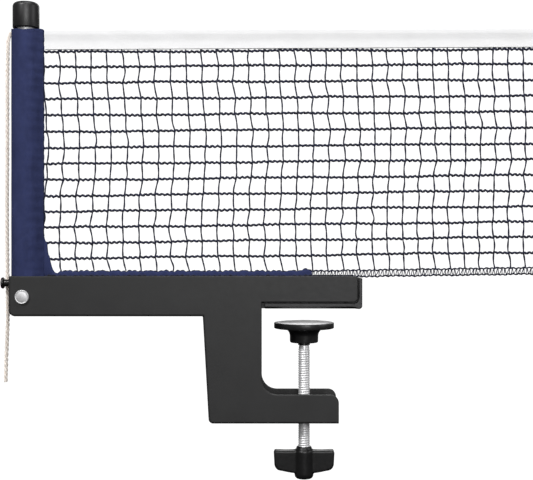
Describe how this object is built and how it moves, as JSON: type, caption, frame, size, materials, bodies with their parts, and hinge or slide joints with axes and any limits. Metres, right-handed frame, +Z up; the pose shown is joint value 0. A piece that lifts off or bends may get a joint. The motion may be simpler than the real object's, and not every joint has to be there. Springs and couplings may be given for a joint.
{
  "type": "table tennis net clamp",
  "caption": "Screw-on table tennis net holder: C-shaped steel clamp with wing screw and swivel pad, capped post, and the cloth-edged end of the net with its cord.",
  "frame": {"origin": "on the clamp screw's axis, on the face of the upper jaw's boot that rests on the table top", "axes": "+X runs along the net away from the post, +Y from the front plate to the rear plate, +Z up along the clamp screw and the post"},
  "size_m": [0.2949, 0.0328, 0.2607],
  "materials": {
    "powder_coat": "satin powder coat",
    "zinc_plate": "bright zinc",
    "screw_zinc": "bright zinc",
    "black_stud": "gloss black",
    "black_rubber": "matt",
    "cap_plastic": "satin",
    "knob_plastic": "satin, fine spark texture",
    "pad_plastic": "satin",
    "grey_facing": "matt",
    "navy_cloth": "plain woven polyester",
    "net_thread": "twisted nylon thread",
    "white_tape": "woven cotton tape",
    "cord_yarn": "twisted cotton cord"
  },
  "bodies": {
    "bracket": {"front_plate": "powder_coat", "rear_plate": "powder_coat", "spine_web": "powder_coat", "thread_boss": "zinc_plate", "jaw_boot": "black_rubber", "post_tube": "zinc_plate", "post_cap": "cap_plastic", "post_rivet": "zinc_plate", "post_spacers": "zinc_plate", "cord_stud": "black_stud"},
    "carrier": {"neck_washer": "black_stud"},
    "screw": {"clamp_screw": "screw_zinc", "wing_knob": "knob_plastic"},
    "pad": {"pad_body": "pad_plastic", "pad_facing": "grey_facing", "ball_retainer": "pad_plastic"},
    "net": {"net_sleeve": "navy_cloth", "net_panel": "net_thread", "top_tape": "white_tape", "tape_cord": "cord_yarn", "bottom_band": "navy_cloth", "bottom_hem": "net_thread", "tension_cord": "cord_yarn"}
  },
  "joints": [
    {"name": "screw_travel", "type": "slide", "parent": "bracket", "child": "carrier", "axis": [0, 0, 1], "range_m": [-0.03302, 0.00635]},
    {"name": "screw_turn", "type": "hinge", "parent": "carrier", "child": "screw", "pos_m": [0, 0, -0.05], "axis": [0, 0, 1], "range_deg": [-9361, 1801]},
    {"name": "pad_tilt", "type": "hinge", "parent": "carrier", "child": "pad", "pos_m": [0, 0, -0.014], "axis": [0, 1, 0], "range_deg": [-4, 4]},
    {"name": "net_lift", "type": "slide", "parent": "bracket", "child": "net", "axis": [0, 0, 1], "range_m": [0, 0.16]}
  ],
  "couplings": [
    {"joint": "screw_turn", "follows": "screw_travel", "rad_per_m": 4947.4}
  ]
}
